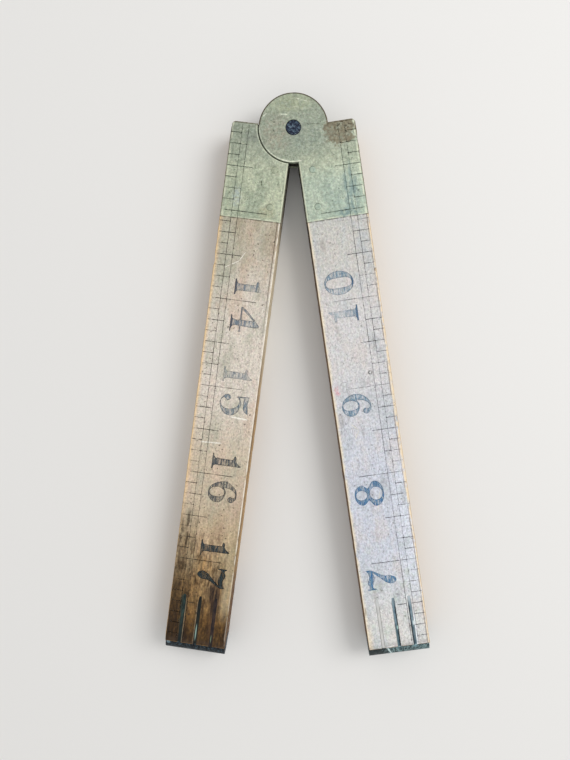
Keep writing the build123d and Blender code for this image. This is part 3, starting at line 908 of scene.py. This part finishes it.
def right_plate_marks(brass):
    """Brown patch at the shoulder, verdigris run down beside the gauge lines, a painted highlight on the
    lit side of the disc rim and painted shade on the rest.
    """
    across, along = brass.across, brass.along
    lay, grain, spot = brass.lay, brass.grain, brass.spot
    mottled = grain(0.8, 5, (4, 0, 2), 0.7)
    lay(along.step(9, 18) * 0.35, (166, 188, 182))
    torn = grain(0.62, 5, (2, 7, 1), 0.7).step(0.34, 0.66)
    crusted = (spot(12.9, 2.8, 6.0, 5.4) + torn - 0.6) * brass.away(12.9, 2.8).step(6.0, 4.5)
    patch = crusted.step(0.16, 0.6)
    lay(patch * mottled.step(0.3, 0.56, 0.4, 0.9), (128, 119, 97))
    lay(crusted.near(0.1, 0.09) * spot(12.0, 3.6, 6.0, 5.4) * 0.45, (208, 212, 192))
    dots = grain(1.6, 3, (1, 1, 8)).step(0.56, 0.64) * spot(13.2, 2.2, 5.4, 5.4)
    lay(dots * along.step(3.6, 0.8, 0.35, 0.9), (70, 60, 44))
    lay(spot(-5.0, 1.0, 5.5, 7.0) * mottled.step(0.38, 0.6) * 0.35, (170, 152, 136))
    lay(spot(0.0, -7.0, 9.0, 3.6) * mottled.step(0.3, 0.6) * 0.4, (178, 184, 148))
    lay(spot(3.0, 3.0, 7.0, 6.0) * mottled.step(0.34, 0.6) * 0.35, (128, 142, 134))
    run = spot(13.7, 20.5, 2.6, 10.5) * grain((1.1, 0.22, 1), 4, (7, 1, 1)).step(0.4, 0.62)
    run = run.larger(spot(12.3, 26.2, 4.6, 2.2) * mottled.step(0.38, 0.6))
    haze = spot(11.6, 21.5, 6.5, 8.5) * mottled.step(0.35, 0.7)
    lay(haze * 0.35, (150, 168, 164))
    lay(run * 0.6, (104, 132, 136))
    # Painted highlight on the lit side of the disc rim, and painted shade on the rest of it.
    reach = brass.away(0, 0)
    lit = across.step(1.4, 0.7) * along.step(-3.0, -1.0)
    rim_highlight = reach.near(disc_radius - 0.3, 0.26) * lit * along.step(4, 9, 0.35, 0.9)
    lay(rim_highlight, (236, 238, 218))
    rim_shade = reach.step(disc_radius - 0.5, disc_radius - 0.25) * reach.step(10.4, 10.2)
    lay(rim_shade * (1 - lit) * along.step(1.5, -1) * 0.9, (72, 58, 38))
    bright = brass.scratches(((-3.2, -4.3), (-0.9, -3.9), 0.22), ((-8.2, -4.4), (-6.9, -5.3), 0.2))
    bright = bright.larger(brass.scratches(((1.8, -8.1), (5.2, -6.6), 0.26)) * mottled.step(0.4, 0.6))
    lay(bright * 0.8, (224, 228, 208))
    lay(brass.scratches(((4.2, -0.3), (8.4, 0.1), 0.14)) * 0.6, (96, 104, 84))
    return (patch * 0.7).larger(dots, run, haze * 0.4)


def left_plate_marks(brass):
    """Grey smudge beside the disc, warm tarnish below it, a bright bruise on the gauge line, and a painted
    highlight on the edge of the hollow.
    """
    lay, grain, spot = brass.lay, brass.grain, brass.spot
    mottled = grain(0.9, 5, (4, 0, 2), 0.7)
    broken = mottled.step(0.3, 0.6)
    smudge = spot(11.4, 3.8, 2.6, 2.4) * broken
    lay(smudge * 0.6, (112, 118, 110))
    warm = brass.away(3.7, 23.3).step(1.5, 0.6).larger(spot(4.5, 25.0, 3.2, 2.2)) * broken
    lay(warm * 0.4, (160, 150, 116))
    cold = spot(13.6, 21.4, 1.7, 4.2) * mottled.step(0.35, 0.6)
    lay(cold * 0.5, (154, 166, 174))
    lay(grain((1.2, 0.2, 1), 3, (2, 8, 8)).step(0.62, 0.7) * 0.5, (120, 128, 112))
    nick = brass.scratches(((7.1, 15.9), (6.8, 17.6), 0.2)).larger(spot(2.8, 12.9, 0.3, 0.4))
    lay(nick * 0.8, (76, 82, 62))
    # Painted highlight along the edge of the hollow round the disc.
    edge = brass.away(0, 0).near(disc_radius + 0.5, 0.24) * brass.along.step(-1, 1)
    lay(edge * 0.5, (226, 230, 206))
    return (smudge * 0.6).larger(cold * 0.5)


def add_worn_brass(node, hand, section, marks=None):
    """Put a worn copy of one sheet of brass in its node's place."""
    mesh = worn_copy(node, hand, section_faces[section])
    brass = tarnished_brass(f"{node}_brass", hand, marks)
    add_piece(f"{node}_worn", mesh, f"{hand}_{section}", "plate_brass", brass, node)


for hand, marks in {"right": right_plate_marks, "left": left_plate_marks}.items():
    add_worn_brass(f"{hand}_front_plate", hand, "inner", marks)
    add_worn_brass(f"{hand}_back_plate", hand, "inner")


def grimy_brass(name, hand):
    """Brass inside the joint: old oil and dust, and painted shade of the gap between the legs, make it
    almost black.
    """
    brass = Finish(name, hand)
    crust = brass.grain(1.2, 4, (2, 2, 4), 0.7)
    brass.colour = brass.mix(crust.step(0.35, 0.7), (26, 24, 20), (62, 56, 42))
    return brass.surface(0.6 + crust * 0.2, crust, 0.04, metallic=0.35)


frame["nodes"]["left_joint_tongue"].data.materials[0] = grimy_brass("tongue_brass", "left")


# Pivot pin
# Steel pin riveted over flush in both discs. It has gone dark slate blue, and the peening has
# left its ends slightly domed and pitted, in a fine black ring where they meet the brass.

pivot_radius = 2.25 * mm
pin_sides = 64
end_profile = ((0.0, 0.0), (0.35, 0.004), (0.7, 0.016), (0.88, 0.03), (0.96, 0.06), (1.0, 0.13))


def peened_pin():
    """Pin as a lathe form whose two ends are hammered by noise."""
    shape = bmesh.new()
    low, high = section_faces["inner"]
    rings = []
    for level, up, profile in ((low, 1, end_profile), (high, -1, end_profile[::-1])):
        for share, drop in profile:
            ring = []
            for side in range(pin_sides if share else 1):
                angle = 2 * pi * side / pin_sides
                radius = share * pivot_radius
                x, y = radius * cos(angle), radius * sin(angle)
                hammered = noise.noise(Vector((x, y, level)) * 1400) * 0.02 * mm * (share < 0.97)
                ring.append(shape.verts.new((x, y, level + up * (drop * mm + abs(hammered)))))
            rings.append(ring)
    for below, above in zip(rings, rings[1:]):
        for side in range(pin_sides):
            after = (side + 1) % pin_sides
            corners = [below[side % len(below)], below[after % len(below)]]
            corners += [above[after % len(above)], above[side % len(above)]]
            shape.faces.new(list(dict.fromkeys(corners))).smooth = True
    bmesh.ops.recalc_face_normals(shape, faces=shape.faces)
    mesh = bpy.data.meshes.new("pivot_pin_peened")
    shape.to_mesh(mesh)
    shape.free()
    mesh.transform(Matrix.Translation((0, pivot.y, 0)))
    return mesh


def slate_steel(name, hand, rim=None):
    """Dark steel, mottled blue and grey; the ring round the pivot's end is nearly black."""
    steel = Finish(name, hand)
    mottled = steel.grain(1.35, 4, (2, 3, 4), 0.68)
    steel.colour = steel.mix(mottled.step(0.42, 0.64), (16, 27, 50), (72, 90, 106))
    glint = steel.grain(1.9, 3, (9, 3, 4), 0.7)
    steel.lay(glint.step(0.56, 0.66) * 0.65, (142, 160, 172))
    steel.lay(glint.step(0.44, 0.36) * 0.7, (12, 18, 32))
    if rim:
        steel.lay(steel.away(0, 0).step(rim - 0.4, rim - 0.1) * 0.9, (20, 26, 28))
    return steel.surface(0.45 + mottled * 0.15, mottled + glint * 0.5, 0.05, metallic=0.5)


pin_steel = slate_steel("pivot_pin_steel", "right", pivot_radius / mm)
add_piece("pivot_pin_peened", peened_pin(), "right_inner", "steel_pin", pin_steel, "pivot_pin")
for hand in hands:
    frame["nodes"][f"{hand}_knuckle_pin"].data.materials[0] = slate_steel(f"{hand}_knuckle_pin_steel", hand)


# Knuckle leaves
# Thin brass leaves sawn in from each wood end and rolled round the knuckle pin. Damp has turned
# them dark, with verdigris beside the wood; the left foot is the blacker of the two.

leaf_pitch = 2.3
leaf_middle = (leg_width / mm + 0.05) / 2
leaf_places = {"inner": (-2, 0, 2), "outer": (-1, 1)}
half_leaf = 0.5
barrel_start = 151.6
knuckle_along = 152.4
knuckle_height = 4.9
leaf_tones = {
    ("left", 1): ((30, 24, 28), (60, 46, 42)),
    ("left", 2): ((14, 18, 16), (32, 38, 32)),
    ("left", 3): ((20, 34, 33), (50, 70, 65)),
    ("right", 1): ((198, 198, 196), (212, 211, 207)),
    ("right", 2): ((74, 96, 110), (122, 146, 156)),
    ("right", 3): ((88, 110, 122), (142, 162, 172)),
}
back_tones = ((60, 70, 60), (96, 104, 86))
barrel_tones = {"left": ((10, 12, 14), (30, 36, 40)), "right": ((50, 68, 72), (120, 146, 146))}
barrel_specks = {"left": (104, 134, 150), "right": (150, 172, 176)}
glints = {
    ("left", 1): ((4.35, 149.6, 0.14, 1.5), (120, 138, 110)),
    ("left", 2): ((8.95, 148.2, 0.24, 3.0), (150, 176, 164)),
    ("right", 2): ((9.05, 146.2, 0.24, 0.8), (170, 206, 198)),
    ("right", 3): ((13.8, 145.4, 0.26, 0.9), (222, 236, 236)),
}


def roll_colour(brass):
    """Colour of the rolls: crusted and specked; on the right, black by the inner edge, with a bright
    scratch and painted glints on the front.
    """
    across = brass.across
    lay, spot = brass.lay, brass.spot
    crust = brass.grain(1.2, 4, (7, 2, 4), 0.7)
    fine = brass.grain(2.4, 3, (3, 2, 9), 0.7)
    lively = 0.9 if brass.hand == "right" else 0.55
    specks = barrel_specks[brass.hand]
    brass.colour = brass.mix(crust.step(0.42, 0.58), *barrel_tones[brass.hand])
    lay(fine.step(0.56, 0.66) * lively, specks)
    lay(brass.curls(1.1, 0.05, (2, 6, 6)) * lively * 0.6 * crust.step(0.4, 0.55), specks)
    lay(fine.step(0.42, 0.34) * 0.6, (30, 30, 30))
    joint = abs((across - leaf_middle) % leaf_pitch - leaf_pitch / 2).step(0.14, 0.04)
    joint = joint * abs(across - leaf_middle).step(leaf_pitch * 1.9, leaf_pitch * 1.6)
    lay(joint * 0.75, (18, 18, 18))
    front = brass.height.step(3.4, 5.0)
    if brass.hand == "right":
        lay(across.step(7.2, 3.4) * crust.step(0.3, 0.5) * front * 0.85, (30, 28, 26))
        # Painted glints: light blue-white spots on the front of the rolls beside leaves 2 and 3.
        for middle in (leaf_middle, leaf_middle + 2 * leaf_pitch):
            wide = spot(middle + 0.2, 152.4, 1.0, 1.4) * crust.step(0.36, 0.58) * front
            lay(wide * 0.65, (132, 172, 184))
            small_glint = spot(middle + 0.2, 152.2, 0.5, 0.7) * fine.step(0.4, 0.54) * front
            lay(small_glint, (218, 234, 234))
        lay(brass.scratches(((4.9, 151.5), (6.8, 155.4), 0.3)) * front, (206, 224, 224))
    else:
        # Painted glint at the far end of the left barrel.
        lay(spot(16.9, 152.6, 0.7, 1.2) * fine.step(0.3, 0.5) * front, (128, 150, 160))
    return brass.colour, crust


def right_leaf_marks(brass, number, middle):
    """Marks of the right foot: leaf 1 hardly shows in the wood, and 2 and 3 have a dark edge and a painted
    highlight along the other.
    """
    along, inset = brass.along, brass.across - middle
    lay = brass.lay
    if number == 1:
        lay(abs(inset).near(0.42, 0.14) * along.step(138.5, 140) * 0.7, (104, 98, 92))
    else:
        patchy = brass.grain((1.0, 0.3, 1.0), 3, (4, 4, number), 0.6)
        lay(patchy.step(0.46, 0.32) * 0.6, (40, 58, 64))
        inset = inset * (1 if number == 3 else -1)
        lay(inset.step(-0.1, 0.4) * along.step(147, 143) * 0.55, (150, 172, 184))
        lay(along.step(144.5, 147.5) * 0.5, (46, 70, 76))
        lay(inset.near(-0.3, 0.26) * along.step(138.5, 140.5) * 0.9, (22, 30, 32))
        # Painted highlight: a white-blue line along the leaf's other edge.
        lay(inset.near(0.42, 0.16) * along.step(145, 147) * 0.6, (190, 214, 220))
    lay(along.step(140.6, 138.2) * (0.8 if number == 3 else 0.25), (190, 200, 204))


def leaf_brass(hand, section, number):
    """Brass of one leaf and its roll: corroded, speckled, with dirt in the saw cut beside it."""
    brass = Finish(f"{hand}_{section}_leaf_{number}_brass", hand)
    along, height = brass.along, brass.height
    roll, crust = roll_colour(brass)
    middle = leaf_middle + leaf_places[section][number - 1] * leaf_pitch
    speckle = brass.grain((1.7, 0.5, 1.7), 4, (number, 3, 4), 0.7)
    mottled = speckle.step(0.38, 0.62)
    tones = leaf_tones[hand, number] if section == "inner" else back_tones
    brass.colour = brass.mix(mottled, *tones)
    if hand == "left" and number == 3:
        brass.lay(along.step(142, 149) * 0.7, (18, 24, 24))
    if (hand, section) == ("right", "inner"):
        right_leaf_marks(brass, number, middle)
    beside = (abs(brass.across - middle) + speckle * 0.3 - 0.15).step(half_leaf - 0.2, half_leaf)
    brass.lay(beside * (0.15 if (hand, section, number) == ("right", "inner", 1) else 0.7), (46, 44, 38))
    if section == "inner":
        if (hand, number) in glints:
            place, tone = glints[hand, number]
            brass.lay(brass.spot(*place) * speckle.step(0.2, 0.45) * 0.9, tone)
        brass.lay(height.step(7.6, 6.6), brass.mix(mottled, *back_tones))
    reach = ((along - knuckle_along) ** 2 + (height - knuckle_height) ** 2) ** 0.5
    rolled = along.step(barrel_start - 0.1, barrel_start + 0.2).larger(reach.step(3.35, 3.2))
    brass.lay(rolled, roll)
    return brass.surface(0.5 + crust * 0.2, speckle + crust * 0.8, 0.08, metallic=0.45)


for hand in hands:
    for section, steps in leaf_places.items():
        for number in range(1, len(steps) + 1):
            leaf = frame["nodes"][f"{hand}_{section}_leaf_{number}"]
            leaf.data.materials[0] = leaf_brass(hand, section, number)


# Brass tips
# A strip of thinner brass folded over each free end, let in flush on both faces, keeps the
# first and the last inch from wearing short.

for hand in hands:
    add_worn_brass(f"{hand}_tip", hand, "outer")


# Rivets
# Brass wire, cut to length, driven through and filed level: two through the plates of each leg,
# one across every wood end through its leaves, and one through each tip.

plate_rivets = ((3.7 * mm, 12.65 * mm), (3.7 * mm, 23.3 * mm))
tip_rivet = (leaf_middle * mm, 3.8 * mm)
leaf_rivet_along = 145.3 * mm
rivet_edge = 0.07 * mm
rivet_play = 0.004 * mm
wire = {
    "plate": {"Radius": 1.0 * mm, "Length": 4.8 * mm},
    "tip": {"Radius": 0.75 * mm, "Length": 4.8 * mm},
    "leaf": {"Radius": 0.6 * mm, "Length": leg_width - 0.05 * mm},
}
rivet_tones = {"right": ((150, 166, 152), (176, 190, 172)), "left": ((156, 164, 142), (180, 186, 162))}


def rivet_tree():
    """Round rivets along the z axis, one on each point that comes in, each turned its own way."""
    tree = FormTree("rivets", {"Float": ("Radius", "Length", "Edge", "Play"), "Int": ("Sides", "Seed")})
    node, given, vector = tree.node, tree.given, tree.vector
    sockets = {"Vertices": given("Sides"), "Side Segments": 3, "Fill Segments": 3}
    sockets.update({"Radius": given("Radius"), "Depth": given("Length")})
    rivet = node("GeometryNodeMeshCylinder", {"fill_type": "TRIANGLE_FAN"}, sockets)
    x, y, z = tree.position()
    half = given("Length") / 2
    end = abs(z).above(half * 0.9)
    away = (x * x + y * y) ** 0.5 / given("Radius")
    shrink = 1 - end * given("Edge") / given("Radius")
    dome = half - given("Edge") * 0.4 * away ** 4
    height = z.sign() * (end * dome + (1 - end) * (half - given("Edge")))
    sockets = {"Geometry": rivet, "Position": vector(x * shrink, y * shrink, height)}
    rivet = node("GeometryNodeSetPosition", None, sockets)
    chance = {"data_type": "FLOAT_VECTOR"}
    sockets = {0: vector(0, 0, -given("Play")), 1: vector(0, 0, given("Play")), "Seed": given("Seed")}
    sockets = {"Geometry": given("Geometry"), "Offset": node("FunctionNodeRandomValue", chance, sockets)}
    points = node("GeometryNodeSetPosition", None, sockets)
    turn = node("FunctionNodeRandomValue", chance, {1: (0, 0, 2 * pi), "Seed": given("Seed") + 1})
    sockets = {"Points": points, "Instance": rivet, "Rotation": turn}
    tree.end(node("GeometryNodeInstanceOnPoints", None, sockets))
    return tree


def rivet_metal(hand, section):
    """Wire brass, tarnished with the sheet round it and scored by the file; dirt rings each end."""
    brass = Finish(f"{hand}_{section}_rivet_brass", hand)
    filed = brass.grain((1.2, 4.5, 4.5), 3, (3, 5, 8), 0.6)
    speckle = brass.grain(1.35, 4, (1, 4, 1), 0.68)
    brass.colour = brass.mix(speckle.step(0.36, 0.64), *rivet_tones[hand])
    first, *others = (brass.away(across / mm, along / mm) for across, along in (*plate_rivets, tip_rivet))
    brass.lay(first.smaller(*others).near(0.92, 0.2) * 0.45, (124, 132, 112))
    return brass.surface(0.46 + speckle * 0.15, filed + speckle * 0.5, metallic=0.75)


def driven(kind, places, shared):
    """Rivets of one wire through the points of a leg that they are driven at."""
    points = bpy.data.meshes.new("rivet_points")
    points.from_pydata(places, [], [])
    return rivets_of_rule.run(points, {**shared, **wire[kind]})


rivets_of_rule = rivet_tree()
lying = Matrix.Rotation(pi / 2, 4, "Y")
for hand, sign in hands.items():
    for section, faces in section_faces.items():
        metal = rivet_metal(hand, section)
        shared = {"Edge": rivet_edge, "Play": rivet_play, "Sides": 32, "Seed": 5 + sign, "Material": metal}
        middle = sum(faces) / 2
        kind, places, node = "plate", plate_rivets, f"{hand}_plate_rivets"
        if section == "outer":
            kind, places, node = "tip", (tip_rivet,), f"{hand}_tip_rivet"
        upright = driven(kind, [(sign * across, -along, middle) for across, along in places], shared)
        crossing = driven("leaf", [(0, 0, 0)], shared)
        seat = Matrix.Translation((sign * leaf_middle * mm, -leaf_rivet_along, middle))
        crossing.transform(seat @ lying)
        mesh = joined([upright, crossing], Matrix())
        mesh.transform(leg_matrix(hand))
        for face in mesh.polygons:
            face.use_smooth = True
        name, body = f"{hand}_{section}_rivets", f"{hand}_{section}"
        add_piece(name, mesh, body, "rivet_brass", metal, node, f"{hand}_{section}_leaf_rivet")


# Floor, light and camera
# No part of the rule: pale paper under it, one soft window at the upper right, and a camera where
# the photograph's one stood, sixteen centimetres above the legs and looking down on them.

floor_half = 1.5
floor_drop = 0.05 * mm
floor_mesh = bpy.data.meshes.new("floor")
corners = ((-1, -1), (1, -1), (1, 1), (-1, 1))
places = [(x * floor_half, y * floor_half, -floor_drop) for x, y in corners]
floor_mesh.from_pydata(places, [], [(0, 1, 2, 3)])
floor = placed("floor", floor_mesh)
paper = bpy.data.materials.new("floor_paper")
paper.use_nodes = True
coat = paper.node_tree.nodes["Principled BSDF"].inputs
coat["Base Color"].default_value = (0.78, 0.77, 0.75, 1)
coat["Roughness"].default_value = 0.9
floor_mesh.materials.append(paper)

scene = bpy.context.scene
scene.world = bpy.data.worlds.new("studio")
scene.world.use_nodes = True
studio = scene.world.node_tree.nodes["Background"].inputs
studio["Color"].default_value = (1, 1, 1, 1)
studio["Strength"].default_value = 0.72

lamp = bpy.data.lights.new("window", "AREA")
lamp.size = 0.5
lamp.energy = 3.6
window = placed("window", lamp)
window.location = (0.55, 0.25, 0.6)
window.rotation_euler = (-window.location).to_track_quat("-Z", "Y").to_euler()

scene.view_settings.view_transform = "Standard"
focal_pixels = 571.0
frame_height_pixels = 760.0
film_height = 36.0
eye_from_pivot = Vector((3.5, -68.7, 164.2)) * mm
turn_model = Matrix.Rotation(radians(0.56), 3, "Z")
to_camera = turn_model
for degrees, axis in ((1.17, "X"), (-1.96, "Y"), (-0.24, "Z")):
    to_camera = Matrix.Rotation(radians(degrees), 3, axis) @ to_camera
lens = bpy.data.cameras.new("camera")
lens.sensor_fit = "VERTICAL"
lens.sensor_height = film_height
lens.lens = film_height * focal_pixels / frame_height_pixels
camera = placed("camera", lens)
place = turn_model.inverted() @ eye_from_pivot + Vector((0, pivot.y, face_height))
camera.matrix_world = Matrix.Translation(place) @ to_camera.inverted().to_4x4()
scene.camera = camera
